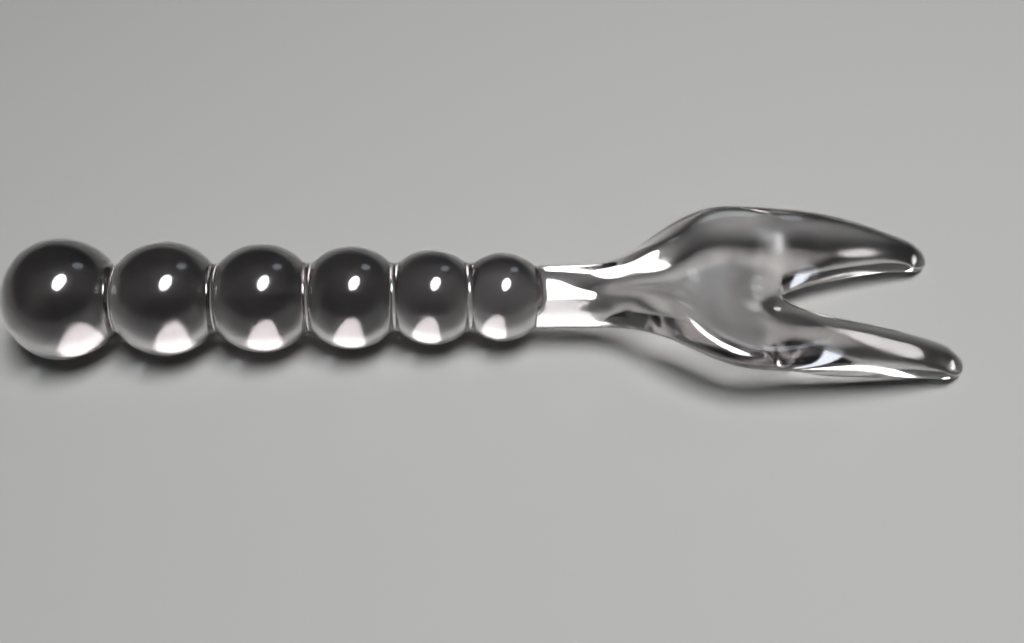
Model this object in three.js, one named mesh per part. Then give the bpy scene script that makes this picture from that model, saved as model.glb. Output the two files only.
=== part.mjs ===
// Salad serving fork of clear glass, in millimetres, lying on its table with the dished side up and +Z up.
// It is solid glass throughout: a handle of six balls, a round shank, and a dished head with two tines.
// The solids are the natural divisions of that glass and meet face to face.
import * as THREE from "three";
import { mergeVertices } from "three/addons/utils/BufferGeometryUtils.js";

// Handle: the balls from the free end to the shank, the waists between them, and the length of the free end's
// half ball as a share of its radius
const BEAD_RADII = [15.2, 14.3, 13.7, 13.05, 12.1, 11.25];
const END_SHARE = 0.9;
const WAIST_RADIUS = 8;
const WAIST_FILLET = 0.8;
const SHANK_LENGTH = 10.1;

// Head in plan: it flares from the shank, then splits at a rounded notch into two tines
const FLARE_LENGTH = 45.3;
const HEAD_HALF_WIDTH = 26.4;
const ROOT_AFTER_FLARE = 7.8;
const TINE_LENGTH = 43.6;
const TINE_DRAW_IN = 4.7;
const TIP_HALF_GAP = 13.7;
const TIP_ROUNDING = 6;
const STUB_LENGTH = 4;

// Head from the side, from the handle's axis: its edges rise to a crest and fall to the tips
const CREST_AFTER_SHANK = 29.6;
const CREST_RISE = 5.3;
const TIP_DROP = 7;
const FALL_POWER = 2.15;

// Head in section: a dished plate with round edges, which swells where the tines begin
const PALM_THICKNESS = 9;
const TIP_THICKNESS = 7.2;
const SWELL = 4.5;
const SWELL_BEFORE_ROOT = 12;
const SWELL_AFTER_ROOT = 10;
const ROOT_ROUNDING = 9;
const TINE_ROUNDING = 4.5;
const DISH_DEPTH = 5.5;
const DISH_AFTER_SHANK = 12;

// Hollow pressed into the top of the neck, between ridges that run out to the edges of the head. Its width, and
// that of the bowl below, is a share of the head's.
const HOLLOW_DEPTH = 3.6;
const HOLLOW_SHARE = 0.62;
const HOLLOW_AFTER_BEADS = 5;
const HOLLOW_DEEPEST_AFTER_SHANK = 19;
const HOLLOW_PAST_CREST = 6;

// Shallow bowl pressed into the top of the palm
const BOWL_DEPTH = 2;
const BOWL_SHARE = 0.9;
const BOWL_AFTER_SHANK = 21;
const BOWL_DEEPEST_AFTER_SHANK = 39;
const BOWL_PAST_ROOT = 8;

// Fineness of the surfaces
const QUARTER_STEPS = 10;
const BALL_STEPS = 11;
const FILLET_STEPS = 2;
const SHANK_STEPS = 5;
const PALM_STEPS = 25;
const STUB_STEPS = 5;
const TINE_STEPS = 18;
const WELD = 1e-4;

const GLASS = { color: 0xdde2e0, roughness: 0.06, metalness: 0 };

const { clamp, lerp, smootherstep } = THREE.MathUtils;

// Places along the handle's axis, from the free end
const beads = [];
BEAD_RADII.forEach((radius, index) => {
  const start = index === 0 ? 0 : beads[index - 1].end;
  const reach = Math.sqrt((radius + WAIST_FILLET) ** 2 - (WAIST_RADIUS + WAIST_FILLET) ** 2);
  const centre = start + (index === 0 ? END_SHARE * radius : reach);
  beads.push({ radius, reach, start, centre, end: centre + reach });
});
const shankStart = beads.at(-1).end;
const flareStart = shankStart + SHANK_LENGTH;
const flareEnd = flareStart + FLARE_LENGTH;
const crest = flareStart + CREST_AFTER_SHANK;
const notchRoot = flareEnd + ROOT_AFTER_FLARE;
const stubEnd = notchRoot + STUB_LENGTH;
const tip = notchRoot + TINE_LENGTH;

function glassMesh(name, geometry) {
  const mesh = new THREE.Mesh(geometry, new THREE.MeshStandardMaterial(GLASS));
  mesh.name = name;
  return mesh;
}

// Turns a profile of (radius, place along the handle) about the handle's axis
function turned(profile) {
  return new THREE.LatheGeometry(profile, 4 * QUARTER_STEPS).rotateZ(-Math.PI / 2);
}

function arc(centreRadius, centrePlace, radius, from, to, steps) {
  const curve = new THREE.EllipseCurve(centreRadius, centrePlace, radius, radius, from, to, to < from);
  return curve.getPoints(steps);
}

// A ball between two filleted waists, or the end ball with a waist on one side only
function beadSolid({ radius, reach, start, centre, end }, isEnd) {
  const waist = WAIST_RADIUS + WAIST_FILLET;
  const lean = Math.atan2(reach, waist);
  const first = isEnd ? -Math.PI / 2 : -lean;
  const ball = arc(0, centre, radius, first, lean, BALL_STEPS);
  for (const point of ball) if (isEnd && point.y < centre) point.y = lerp(centre, point.y, END_SHARE);
  const rise = arc(waist, start, WAIST_FILLET, Math.PI, Math.PI - lean, FILLET_STEPS);
  const fall = arc(waist, end, WAIST_FILLET, lean - Math.PI, -Math.PI, FILLET_STEPS);
  const opening = isEnd ? [] : [new THREE.Vector2(0, start), ...rise.slice(0, -1)];
  return turned([...opening, ...ball, ...fall.slice(1), new THREE.Vector2(0, end)]);
}

// Half width of the notch: a parabola from its root, so that the root is round
function halfGap(x) {
  return TIP_HALF_GAP * Math.sqrt(Math.max(0, (x - notchRoot) / TINE_LENGTH));
}

function halfWidth(x) {
  const flared = lerp(WAIST_RADIUS, HEAD_HALF_WIDTH, smootherstep(x, flareStart, flareEnd));
  const pastFlare = Math.max(0, (x - flareEnd) / (tip - flareEnd));
  return flared - TINE_DRAW_IN * pastFlare ** 2;
}

function edgeHeight(x) {
  const pastCrest = Math.max(0, (x - crest) / (tip - crest));
  return CREST_RISE * smootherstep(x, flareStart, crest) - (CREST_RISE + TIP_DROP) * pastCrest ** FALL_POWER;
}

// Rises smoothly from 0 to 1 at the peak, then falls back to 0
function hump(x, from, peak, to) {
  return smootherstep(x, from, peak) * (1 - smootherstep(x, peak, to));
}

function plateThickness(x) {
  const palm = lerp(2 * WAIST_RADIUS, PALM_THICKNESS, smootherstep(x, flareStart, flareEnd));
  const pastFlare = Math.max(0, (x - flareEnd) / (tip - flareEnd));
  const swell = SWELL * hump(x, notchRoot - SWELL_BEFORE_ROOT, notchRoot + SWELL_AFTER_ROOT, tip);
  return palm + (TIP_THICKNESS - PALM_THICKNESS) * pastFlare + swell;
}

// Depth pressed into the top, at x along the head and at a share of its half width
function pressedDepth(x, share) {
  const hollowDeepest = flareStart + HOLLOW_DEEPEST_AFTER_SHANK;
  const hollow = hump(x, shankStart + HOLLOW_AFTER_BEADS, hollowDeepest, crest + HOLLOW_PAST_CREST);
  const bowlDeepest = flareStart + BOWL_DEEPEST_AFTER_SHANK;
  const bowl = hump(x, flareStart + BOWL_AFTER_SHANK, bowlDeepest, notchRoot + BOWL_PAST_ROOT);
  const inHollow = Math.max(0, 1 - (share / HOLLOW_SHARE) ** 2) ** 2;
  const inBowl = Math.max(0, 1 - (share / BOWL_SHARE) ** 2);
  return HOLLOW_DEPTH * hollow * inHollow + BOWL_DEPTH * bowl * inBowl;
}

// Share of the thickness that a quarter-round edge leaves at a distance from the edge
function roundEdge(distance, width) {
  const inward = clamp(distance / width, 0, 1);
  return Math.sqrt(1 - (1 - inward) ** 2);
}

// One side of the head cut across at x: points along the top from the middle or the notch to the outer edge,
// then back along the underside
function halfSection(x) {
  const split = x > notchRoot;
  const flare = smootherstep(x, flareStart, flareEnd);
  const tipRound = Math.sqrt(1 - clamp((x - tip + TIP_ROUNDING) / TIP_ROUNDING, 0, 1) ** 2);
  const outline = halfWidth(x);
  const middle = (outline + halfGap(x)) / 2;
  const half = ((outline - halfGap(x)) / 2) * tipRound;
  const inner = split ? middle - half : 0;
  const outer = split ? middle + half : outline;
  const thickness = plateThickness(x);
  const alongTine = clamp((x - notchRoot) / TINE_LENGTH, 0, 1);
  const edge = Math.max(WELD, lerp(ROOT_ROUNDING, TINE_ROUNDING, alongTine) * tipRound);
  const dishing = smootherstep(x, flareStart + DISH_AFTER_SHANK, notchRoot);
  const dish = DISH_DEPTH * dishing * (1 - smootherstep(x, notchRoot, tip));
  const rootRadius = TIP_HALF_GAP ** 2 / TINE_LENGTH;
  const crowding = smootherstep(x, flareEnd, notchRoot);
  const top = [];
  const under = [];
  for (let i = 0; i <= QUARTER_STEPS; i++) {
    const sine = Math.sin((i / QUARTER_STEPS) * (Math.PI / 2));
    const y = inner + (outer - inner) * lerp(sine, sine ** 2, crowding);
    const beyondNotch = split ? y ** 2 - inner ** 2 : y ** 2 + rootRadius * (notchRoot - x);
    const toNotch = beyondNotch / Math.hypot(rootRadius, 2 * y);
    const round = roundEdge(outer - y, lerp(outline, edge, flare)) * roundEdge(toNotch, edge);
    const level = edgeHeight(x) - dish * (1 - (y / outline) ** 2);
    const rise = (thickness / 2) * tipRound * round;
    top.push(new THREE.Vector3(x, y, level + rise - pressedDepth(x, y / outline) * round));
    under.unshift(new THREE.Vector3(x, y, level - rise));
  }
  return [...top, ...under.slice(1)];
}

// Closed skin over the cross-sections of one side, from one end of a piece to the other
class Skin {
  corners = [];

  // Adds a triangle, and its mirror image for the other side of the head where asked
  triangle(a, b, c, side) {
    if (a.equals(b) || b.equals(c) || c.equals(a)) return;
    const order = side > 0 ? [a, b, c] : [a, c, b];
    for (const { x, y, z } of order) this.corners.push(x, side * y, z);
  }

  quad(a, b, c, d, side) {
    this.triangle(a, b, c, side);
    this.triangle(a, c, d, side);
  }

  side(sections, side) {
    for (let s = 1; s < sections.length; s++) {
      const [back, front] = [sections[s - 1], sections[s]];
      for (let i = 1; i < back.length; i++) this.quad(back[i - 1], front[i - 1], front[i], back[i], side);
    }
    this.cap(sections[0], side);
    this.cap(sections.at(-1).toReversed(), side);
    return this;
  }

  // Fills a cross-section between its top and its underside
  cap(section, side) {
    const last = section.length - 1;
    for (let i = 1; i <= last / 2; i++) {
      this.quad(section[i - 1], section[i], section[last - i], section[last - i + 1], side);
    }
  }

  geometry() {
    const skin = new THREE.BufferGeometry();
    skin.setAttribute("position", new THREE.Float32BufferAttribute(this.corners, 3));
    const solid = mergeVertices(skin, WELD);
    solid.computeVertexNormals();
    return solid;
  }
}

// Places from one end to the other, closer together as they near the far end
function closingPlaces(from, to, steps) {
  return Array.from({ length: steps + 1 }, (_, i) => lerp(from, to, Math.sin((i / steps) * (Math.PI / 2))));
}

// Places from one end to the other, closer together near the first
function openingPlaces(from, to, steps) {
  return Array.from({ length: steps + 1 }, (_, i) => lerp(from, to, (i / steps) ** 2));
}

const palmPlaces = [
  ...closingPlaces(flareStart, notchRoot, PALM_STEPS),
  ...openingPlaces(notchRoot, stubEnd, STUB_STEPS).slice(1),
];
const shankSections = openingPlaces(shankStart, flareStart, SHANK_STEPS).map(halfSection);
const palmSections = palmPlaces.map(halfSection);
const tineSections = closingPlaces(stubEnd, tip, TINE_STEPS).map(halfSection);

// The handle's slope on the table: as steep as the balls and the head allow with the end ball resting
function restTilt() {
  const [end, ...others] = beads;
  const tilts = others.map(({ radius, centre }) => Math.asin((end.radius - radius) / (centre - end.centre)));
  for (const { x, z } of [...palmSections, ...tineSections].flat()) {
    const along = x - end.centre;
    tilts.push(Math.asin(end.radius / Math.hypot(along, z)) + Math.atan2(z, along));
  }
  return Math.min(...tilts);
}

const fork = new THREE.Group();
beads.forEach((bead, index) => fork.add(glassMesh(`bead_${index + 1}`, beadSolid(bead, index === 0))));
fork.add(glassMesh("shank", new Skin().side(shankSections, 1).side(shankSections, -1).geometry()));
fork.add(glassMesh("palm", new Skin().side(palmSections, 1).side(palmSections, -1).geometry()));
fork.add(glassMesh("tine_left", new Skin().side(tineSections, 1).geometry()));
fork.add(glassMesh("tine_right", new Skin().side(tineSections, -1).geometry()));
fork.rotation.y = restTilt();

// Origin on the table, below the middle of the fork
const box = new THREE.Box3().setFromObject(fork, true);
const middle = box.getCenter(new THREE.Vector3());
fork.position.set(-middle.x, -middle.y, -box.min.z);

export default fork;
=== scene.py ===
import math

import bmesh
import bpy
from mathutils import Matrix, Vector


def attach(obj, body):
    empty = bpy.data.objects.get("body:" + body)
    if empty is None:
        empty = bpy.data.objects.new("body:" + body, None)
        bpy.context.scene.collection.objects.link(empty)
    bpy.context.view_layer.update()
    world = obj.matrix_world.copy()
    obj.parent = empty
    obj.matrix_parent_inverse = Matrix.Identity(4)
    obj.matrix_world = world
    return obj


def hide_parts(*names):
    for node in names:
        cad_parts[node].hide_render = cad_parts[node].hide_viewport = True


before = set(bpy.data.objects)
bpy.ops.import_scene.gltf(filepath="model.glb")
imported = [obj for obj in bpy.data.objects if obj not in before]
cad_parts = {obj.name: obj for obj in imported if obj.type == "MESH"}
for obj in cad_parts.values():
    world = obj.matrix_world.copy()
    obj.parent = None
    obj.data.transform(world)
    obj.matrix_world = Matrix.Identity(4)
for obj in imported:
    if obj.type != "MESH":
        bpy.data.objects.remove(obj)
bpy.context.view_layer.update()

MM = 0.001

# The fork's sizes in millimetres, as in the solids but for softer waists, a hollow that starts earlier,
# a shallower bowl and a flat on the top of the shank, turned by some degrees to the near side
BEAD_RADII = (15.2, 14.3, 13.7, 13.05, 12.1, 11.25)
END_SHARE = 0.9
WAIST_RADIUS = 8
WAIST_FILLET = 0.8
SOFT_WAIST = 8.7
SHANK_LENGTH = 10.1
FLARE_LENGTH = 45.3
HEAD_HALF_WIDTH = 26.4
ROOT_AFTER_FLARE = 7.8
TINE_LENGTH = 43.6
TINE_DRAW_IN = 4.7
TIP_HALF_GAP = 13.7
TIP_ROUNDING = 6
CREST_AFTER_SHANK = 29.6
CREST_RISE = 5.3
TIP_DROP = 7
FALL_POWER = 2.15
PALM_THICKNESS = 9
TIP_THICKNESS = 7.2
SWELL = 4.5
SWELL_BEFORE_ROOT = 12
SWELL_AFTER_ROOT = 10
ROOT_ROUNDING = 9
TINE_ROUNDING = 4.5
DISH_DEPTH = 5.5
DISH_AFTER_SHANK = 12
HOLLOW_DEPTH = 3.6
HOLLOW_SHARE = 0.62
HOLLOW_AFTER_BEADS = -2
HOLLOW_DEEPEST_AFTER_SHANK = 19
HOLLOW_PAST_CREST = 6
BOWL_DEPTH = 1
BOWL_SHARE = 0.9
BOWL_AFTER_SHANK = 21
BOWL_DEEPEST_AFTER_SHANK = 39
BOWL_PAST_ROOT = 8
FLAT_DEPTH = 1.7
FLAT_TURN = 26
FLAT_SHARE = 0.4
FLAT_LEAD = 1
FLAT_RISE = 2.5
FLAT_FADE = 24

# Fineness of the glass surface, its sharpest edge in millimetres, and the metres within which points merge
QUARTER_STEPS = 24
BALL_STEPS = 36
FILLET_STEPS = 8
SHANK_STEPS = 16
PALM_STEPS = 96
TINE_STEPS = 80
LEAST_EDGE = 1e-6
WELD = 1e-6
DEGENERATE = 1e-7

# The camera, from the photograph: its angles in degrees, its distance, aim and drop in millimetres,
# and the nearest that it sees in metres
IMAGE_WIDTH = 1024
FOCAL_PIXELS = 1100
SENSOR_WIDTH = 36
CAMERA_ELEVATION = 51
CAMERA_YAW = 1.76
CAMERA_DISTANCE = 277.2
CAMERA_AIM = (6.44, 0, 12)
CAMERA_DROP = -6.15
CLIP_START = 0.01

# Clear glass: its surface, its ripples, its wear as haze, and the tint in its depth
GLASS_COLOUR = (0.98, 0.975, 0.972, 1)
GLASS_IOR = 1.5
COAT_ROUGHNESS = 0.15
RIPPLE_SCALE = 45
RIPPLE_DETAIL = 1
RIPPLE_STRENGTH = 0.12
RIPPLE_HEIGHT = 0.0006
WEAR_SCALE = 180
WEAR_DETAIL = 6
WEAR_LOW = 0.45
WEAR_HIGH = 0.8
HAZE_LOW = 0.08
HAZE_HIGH = 0.16
DEPTH_COLOUR = (0.68, 0.56, 0.575, 1)
DEPTH_DENSITY = 16

# The floor in metres
FLOOR_REACH = 1.45
FLOOR_DROP = 0.0002
FLOOR_COLOUR = (0.43, 0.43, 0.42, 1)
FLOOR_ROUGHNESS = 0.8
FLOOR_SPECULAR = 0.1

# The light around: at the horizon, overhead, and how high the fade ends
SKY_HORIZON = 0.36
SKY_OVERHEAD = 0.012
SKY_FADE = 0.25

# The lamps in metres and degrees: overhead, behind, and the ring that lights the floor far from the fork
OVERHEAD_PLACE = (0.14, -0.12, 0.9)
OVERHEAD_AIM = (0.14, 0, 0)
OVERHEAD_SIZE = (0.32, 0.55)
OVERHEAD_WATTS = 9.2
OVERHEAD_TURN = -18
BEHIND_PLACE = (0.37, 0.53, 0.64)
BEHIND_AIM = (0.05, 0, 0)
BEHIND_SIZE = (0.2, 0.3)
BEHIND_WATTS = 0.22
BEHIND_COLOUR = (0.82, 0.91, 1)
BACKDROP_LAMPS = 8
BACKDROP_REACH = 1.4
BACKDROP_HEIGHT = 0.8
BACKDROP_SIZE = 0.3
BACKDROP_SPREAD = 100
BACKDROP_WATTS = 1.6


def clamp(value):
    return min(max(value, 0), 1)


def lerp(low, high, share):
    return low + (high - low) * share


# Rises from 0 at the low place to 1 at the high one, level at both
def smoother(x, low, high):
    t = clamp((x - low) / (high - low))
    return t * t * t * (10 + t * (6 * t - 15))


# Places along the handle's axis from the free end
def bead_places():
    beads = []
    start = 0
    for index, radius in enumerate(BEAD_RADII):
        reach = math.sqrt((radius + WAIST_FILLET) ** 2 - (WAIST_RADIUS + WAIST_FILLET) ** 2)
        centre = start + (reach if index else END_SHARE * radius)
        beads.append((radius, reach, start, centre))
        start = centre + reach
    return beads, start


BEADS, SHANK_START = bead_places()
FLARE_START = SHANK_START + SHANK_LENGTH
FLARE_END = FLARE_START + FLARE_LENGTH
CREST = FLARE_START + CREST_AFTER_SHANK
NOTCH_ROOT = FLARE_END + ROOT_AFTER_FLARE
TIP = NOTCH_ROOT + TINE_LENGTH


# The radius and the sweep of the fillet that meets a ball and lies level at a waist
def waist_fillet(radius, reach, waist):
    fillet = (reach ** 2 + waist ** 2 - radius ** 2) / (2 * (radius - waist))
    return fillet, math.atan2(reach, waist + fillet)


# The handle's profile as (place, radius), from the free end to the head
def handle_profile():
    profile = []
    for index, (radius, reach, start, centre) in enumerate(BEADS):
        end = centre + reach
        first = -math.pi / 2
        if index:
            fillet, lean = waist_fillet(radius, reach, SOFT_WAIST)
            first = -lean
            for step in range(1, FILLET_STEPS):
                turn = lean * step / FILLET_STEPS
                rise = SOFT_WAIST + fillet * (1 - math.cos(turn))
                profile.append((start + fillet * math.sin(turn), rise))
        waist = SOFT_WAIST if end < SHANK_START else WAIST_RADIUS
        fillet, lean = waist_fillet(radius, reach, waist)
        for step in range(BALL_STEPS + 1):
            angle = lerp(first, lean, step / BALL_STEPS)
            along = radius * math.sin(angle)
            if index == 0 and along < 0:
                along *= END_SHARE
            profile.append((centre + along, radius * math.cos(angle)))
        for step in range(1, FILLET_STEPS + 1):
            turn = lean * (1 - step / FILLET_STEPS)
            profile.append((end - fillet * math.sin(turn), waist + fillet * (1 - math.cos(turn))))
    return profile


# One side of the handle cut across: from the top to the bottom
def round_section(place, radius):
    points = []
    for step in range(2 * QUARTER_STEPS + 1):
        angle = math.pi * step / (2 * QUARTER_STEPS)
        points.append((place, radius * math.sin(angle), radius * math.cos(angle)))
    return points


# Rises smoothly from 0 to 1 at the peak, then falls back to 0
def hump(x, first, peak, last):
    return smoother(x, first, peak) * (1 - smoother(x, peak, last))


def plate_thickness(x):
    palm = lerp(2 * WAIST_RADIUS, PALM_THICKNESS, smoother(x, FLARE_START, FLARE_END))
    thinning = (TIP_THICKNESS - PALM_THICKNESS) * max(0, (x - FLARE_END) / (TIP - FLARE_END))
    swell = SWELL * hump(x, NOTCH_ROOT - SWELL_BEFORE_ROOT, NOTCH_ROOT + SWELL_AFTER_ROOT, TIP)
    return palm + thinning + swell


# Depth pressed into the top, at x along the head and at a share of its half width
def pressed_depth(x, share):
    hollow_deepest = FLARE_START + HOLLOW_DEEPEST_AFTER_SHANK
    hollow = hump(x, SHANK_START + HOLLOW_AFTER_BEADS, hollow_deepest, CREST + HOLLOW_PAST_CREST)
    bowl_deepest = FLARE_START + BOWL_DEEPEST_AFTER_SHANK
    bowl = hump(x, FLARE_START + BOWL_AFTER_SHANK, bowl_deepest, NOTCH_ROOT + BOWL_PAST_ROOT)
    in_hollow = max(0, 1 - (share / HOLLOW_SHARE) ** 2) ** 2
    in_bowl = max(0, 1 - (share / BOWL_SHARE) ** 2)
    return HOLLOW_DEPTH * hollow * in_hollow + BOWL_DEPTH * bowl * in_bowl


def round_edge(distance, width):
    return math.sqrt(1 - (1 - clamp(distance / width)) ** 2)


# One side of the head cut across at x: along the top to the outer edge, then back beneath
def head_section(x):
    split = x > NOTCH_ROOT
    flare = smoother(x, FLARE_START, FLARE_END)
    past_flare = max(0, (x - FLARE_END) / (TIP - FLARE_END))
    past_crest = max(0, (x - CREST) / (TIP - CREST))
    tip_round = math.sqrt(1 - clamp((x - TIP + TIP_ROUNDING) / TIP_ROUNDING) ** 2)
    outline = lerp(WAIST_RADIUS, HEAD_HALF_WIDTH, flare) - TINE_DRAW_IN * past_flare ** 2
    gap = TIP_HALF_GAP * math.sqrt(max(0, (x - NOTCH_ROOT) / TINE_LENGTH))
    half = (outline - gap) / 2 * tip_round
    inner = (outline + gap) / 2 - half if split else 0
    outer = (outline + gap) / 2 + half if split else outline
    thickness = plate_thickness(x)
    along_tine = clamp((x - NOTCH_ROOT) / TINE_LENGTH)
    edge = max(LEAST_EDGE, lerp(ROOT_ROUNDING, TINE_ROUNDING, along_tine) * tip_round)
    height = CREST_RISE * smoother(x, FLARE_START, CREST)
    height -= (CREST_RISE + TIP_DROP) * past_crest ** FALL_POWER
    dishing = smoother(x, FLARE_START + DISH_AFTER_SHANK, NOTCH_ROOT)
    dish = DISH_DEPTH * dishing * (1 - smoother(x, NOTCH_ROOT, TIP))
    root_radius = TIP_HALF_GAP ** 2 / TINE_LENGTH
    crowding = smoother(x, FLARE_END, NOTCH_ROOT)
    top = []
    under = []
    for step in range(QUARTER_STEPS + 1):
        sine = math.sin(math.pi / 2 * step / QUARTER_STEPS)
        y = inner + (outer - inner) * lerp(sine, sine ** 2, crowding)
        beyond = y ** 2 - inner ** 2 if split else y ** 2 + root_radius * (NOTCH_ROOT - x)
        to_notch = beyond / math.hypot(root_radius, 2 * y)
        rounding = round_edge(outer - y, lerp(outline, edge, flare)) * round_edge(to_notch, edge)
        level = height - dish * (1 - (y / outline) ** 2)
        rise = thickness / 2 * tip_round * rounding
        top.append((x, y, level + rise - pressed_depth(x, y / outline) * rounding))
        under.append((x, y, level - rise))
    return top + under[-2::-1]


# Places that crowd towards the last one
def closing(first, last, steps):
    return [lerp(first, last, math.sin(math.pi / 2 * step / steps)) for step in range(steps + 1)]


# Every cross-section of one side of the fork, from the free end to the tip
def half_sections():
    sections = [round_section(place, radius) for place, radius in handle_profile()]
    shank = [lerp(SHANK_START, FLARE_START, step / SHANK_STEPS) for step in range(1, SHANK_STEPS)]
    sections += [head_section(x) for x in shank]
    sections += [head_section(x) for x in closing(FLARE_START, NOTCH_ROOT, PALM_STEPS)]
    for step in range(1, TINE_STEPS + 1):
        share = (1 - math.cos(math.pi * step / TINE_STEPS)) / 2
        sections.append(head_section(lerp(NOTCH_ROOT, TIP, share)))
    return sections


# The handle's slope on the table: as steep as the balls and the head allow with the end ball resting
def rest_tilt(sections):
    end_radius, _, _, end_centre = BEADS[0]
    others = BEADS[1:]
    tilts = [math.asin((end_radius - radius) / (centre - end_centre)) for radius, _, _, centre in others]
    for x, _, z in (point for section in sections for point in section):
        if x > FLARE_START:
            along = x - end_centre
            tilts.append(math.asin(end_radius / math.hypot(along, z)) + math.atan2(z, along))
    return min(tilts)


# A point of the surface, pressed in where it stands above the edge of the shank's flat
def flattened(x, y, z):
    turn = math.radians(FLAT_TURN)
    height = z * math.cos(turn) - y * math.sin(turn)
    edge = FLAT_SHARE * WAIST_RADIUS
    above = clamp((height - edge) / (WAIST_RADIUS - edge))
    start = smoother(x, SHANK_START - FLAT_LEAD, SHANK_START + FLAT_RISE)
    fade = 1 - smoother(x, FLARE_START, FLARE_START + FLAT_FADE)
    press = FLAT_DEPTH * start * fade * above ** 2
    return x, y + press * math.sin(turn), z - press * math.cos(turn)


# The whole fork as one unbroken skin of glass
def glass_fork():
    sections = half_sections()
    shape = bmesh.new()
    for side in (1, -1):
        rings = []
        for section in sections:
            rings.append([shape.verts.new(flattened(x, side * y, z)) for x, y, z in section])
        for back, front in zip(rings, rings[1:]):
            for step in range(1, len(back)):
                corners = [back[step - 1], front[step - 1], front[step], back[step]]
                shape.faces.new(corners if side > 0 else corners[::-1])
    bmesh.ops.scale(shape, vec=(MM, MM, MM), verts=shape.verts)
    tilt = Matrix.Rotation(rest_tilt(sections), 3, "Y")
    bmesh.ops.rotate(shape, cent=(0, 0, 0), matrix=tilt, verts=shape.verts)
    bmesh.ops.remove_doubles(shape, verts=shape.verts, dist=WELD)
    bmesh.ops.dissolve_degenerate(shape, edges=shape.edges, dist=DEGENERATE)
    low = [min(vert.co[axis] for vert in shape.verts) for axis in range(3)]
    high = [max(vert.co[axis] for vert in shape.verts) for axis in range(3)]
    shift = (-(low[0] + high[0]) / 2, -(low[1] + high[1]) / 2, -low[2])
    bmesh.ops.translate(shape, vec=shift, verts=shape.verts)
    for face in shape.faces:
        face.smooth = True
    mesh = bpy.data.meshes.new("glass_fork")
    shape.to_mesh(mesh)
    shape.free()
    fork = bpy.data.objects.new("glass_fork", mesh)
    bpy.context.scene.collection.objects.link(fork)
    return fork


def set_inputs(node, values):
    for name, value in values.items():
        node.inputs[name].default_value = value


# Clear glass: a faint warm tint in its depth, hand-worked ripples and light wear on its surface
def glass_material():
    material = bpy.data.materials.new("clear_glass")
    material.use_nodes = True
    nodes = material.node_tree.nodes
    links = material.node_tree.links
    glass = nodes["Principled BSDF"]
    set_inputs(glass, {"Base Color": GLASS_COLOUR, "Transmission Weight": 1, "IOR": GLASS_IOR})
    set_inputs(glass, {"Coat Weight": 1, "Coat Roughness": COAT_ROUGHNESS})
    place = nodes.new("ShaderNodeTexCoord")
    ripple = nodes.new("ShaderNodeTexNoise")
    set_inputs(ripple, {"Scale": RIPPLE_SCALE, "Detail": RIPPLE_DETAIL})
    wear = nodes.new("ShaderNodeTexNoise")
    set_inputs(wear, {"Scale": WEAR_SCALE, "Detail": WEAR_DETAIL})
    haze = nodes.new("ShaderNodeMapRange")
    set_inputs(haze, {"From Min": WEAR_LOW, "From Max": WEAR_HIGH, "To Min": HAZE_LOW, "To Max": HAZE_HIGH})
    bump = nodes.new("ShaderNodeBump")
    set_inputs(bump, {"Strength": RIPPLE_STRENGTH, "Distance": RIPPLE_HEIGHT})
    depth = nodes.new("ShaderNodeVolumeAbsorption")
    set_inputs(depth, {"Color": DEPTH_COLOUR, "Density": DEPTH_DENSITY})
    links.new(place.outputs["Object"], ripple.inputs["Vector"])
    links.new(place.outputs["Object"], wear.inputs["Vector"])
    links.new(wear.outputs["Fac"], haze.inputs["Value"])
    links.new(haze.outputs["Result"], glass.inputs["Roughness"])
    links.new(ripple.outputs["Fac"], bump.inputs["Height"])
    links.new(bump.outputs["Normal"], glass.inputs["Normal"])
    links.new(depth.outputs["Volume"], nodes["Material Output"].inputs["Volume"])
    return material


# A pale matt floor
def floor():
    mesh = bpy.data.meshes.new("floor")
    reach = FLOOR_REACH
    corners = [(-reach, -reach, 0), (reach, -reach, 0), (reach, reach, 0), (-reach, reach, 0)]
    mesh.from_pydata(corners, [], [(0, 1, 2, 3)])
    plane = bpy.data.objects.new("floor", mesh)
    bpy.context.scene.collection.objects.link(plane)
    plane.location.z = -FLOOR_DROP
    material = bpy.data.materials.new("floor")
    material.use_nodes = True
    shader = material.node_tree.nodes["Principled BSDF"]
    set_inputs(shader, {"Base Color": FLOOR_COLOUR, "Roughness": FLOOR_ROUGHNESS})
    set_inputs(shader, {"Specular IOR Level": FLOOR_SPECULAR})
    mesh.materials.append(material)


# A round or oval lamp that faces its aim
def softbox(name, place, aim, size, watts):
    lamp = bpy.data.lights.new(name, "AREA")
    lamp.shape = "ELLIPSE"
    lamp.size, lamp.size_y = size
    lamp.energy = watts
    box = bpy.data.objects.new(name, lamp)
    box.location = place
    box.rotation_euler = (Vector(aim) - Vector(place)).to_track_quat("-Z", "Y").to_euler()
    bpy.context.scene.collection.objects.link(box)
    return box


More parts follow.
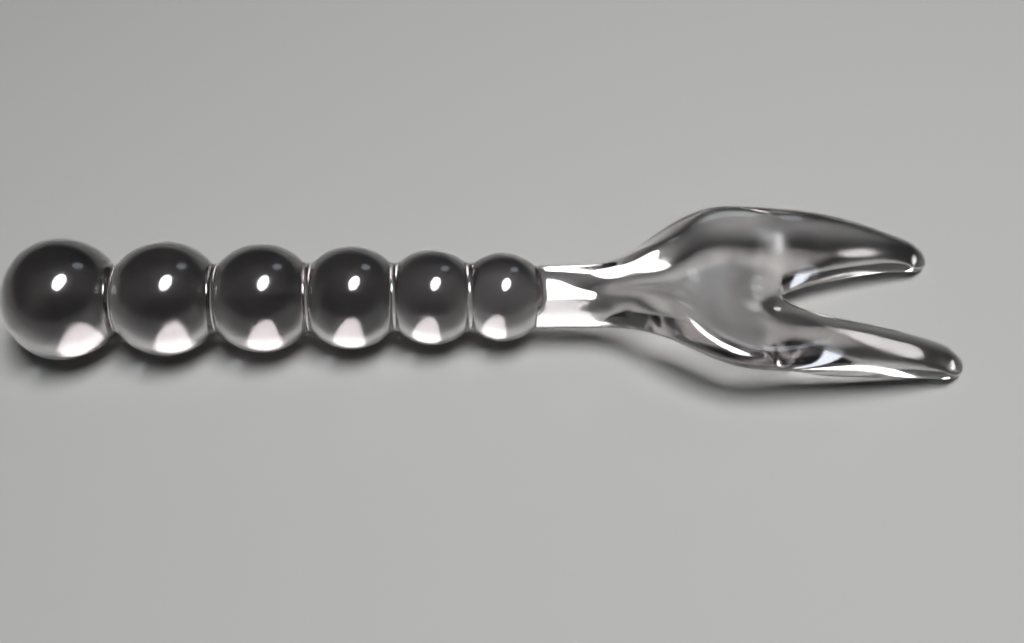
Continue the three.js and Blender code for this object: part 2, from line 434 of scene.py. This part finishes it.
# Pale around the horizon, dark overhead
def surroundings():
    world = bpy.data.worlds.new("studio")
    world.use_nodes = True
    nodes = world.node_tree.nodes
    links = world.node_tree.links
    place = nodes.new("ShaderNodeTexCoord")
    split = nodes.new("ShaderNodeSeparateXYZ")
    fade = nodes.new("ShaderNodeMapRange")
    fade.interpolation_type = "SMOOTHSTEP"
    set_inputs(fade, {"From Min": 0, "From Max": SKY_FADE, "To Min": SKY_HORIZON, "To Max": SKY_OVERHEAD})
    links.new(place.outputs["Generated"], split.inputs["Vector"])
    links.new(split.outputs["Z"], fade.inputs["Value"])
    links.new(fade.outputs["Result"], nodes["Background"].inputs["Color"])
    bpy.context.scene.world = world


# A large softbox overhead, a dim cool one behind, and a ring that lights only the far floor
def lights():
    overhead = softbox("overhead", OVERHEAD_PLACE, OVERHEAD_AIM, OVERHEAD_SIZE, OVERHEAD_WATTS)
    overhead.rotation_euler.rotate_axis("Z", math.radians(OVERHEAD_TURN))
    behind = softbox("behind", BEHIND_PLACE, BEHIND_AIM, BEHIND_SIZE, BEHIND_WATTS)
    behind.data.color = BEHIND_COLOUR
    for index in range(BACKDROP_LAMPS):
        turn = 2 * math.pi * index / BACKDROP_LAMPS
        x = BACKDROP_REACH * math.cos(turn)
        y = BACKDROP_REACH * math.sin(turn)
        size = (BACKDROP_SIZE, BACKDROP_SIZE)
        box = softbox(f"backdrop_{index}", (x, y, BACKDROP_HEIGHT), (x, y, 0), size, BACKDROP_WATTS)
        box.data.spread = math.radians(BACKDROP_SPREAD)


# At the photograph's angle
def camera():
    elevation = math.radians(CAMERA_ELEVATION)
    yaw = math.radians(CAMERA_YAW)
    level = Vector((math.sin(yaw), math.cos(yaw), 0))
    ahead = level * math.cos(elevation) - Vector((0, 0, math.sin(elevation)))
    right = Vector((math.cos(yaw), -math.sin(yaw), 0))
    up = right.cross(ahead)
    aim = Vector(CAMERA_AIM) + up * CAMERA_DROP
    lens = bpy.data.cameras.new("camera")
    lens.sensor_width = SENSOR_WIDTH
    lens.lens = SENSOR_WIDTH * FOCAL_PIXELS / IMAGE_WIDTH
    lens.clip_start = CLIP_START
    view = bpy.data.objects.new("camera", lens)
    turn = Matrix((right, up, -ahead)).transposed()
    view.matrix_world = Matrix.Translation((aim - ahead * CAMERA_DISTANCE) * MM) @ turn.to_4x4()
    bpy.context.scene.collection.objects.link(view)
    bpy.context.scene.camera = view


fork = glass_fork()
fork.data.materials.append(glass_material())
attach(fork, "root")
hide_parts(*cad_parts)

floor()
surroundings()
lights()
camera()
bpy.context.scene.view_settings.view_transform = "Standard"
bpy.context.scene.cycles.blur_glossy = 0
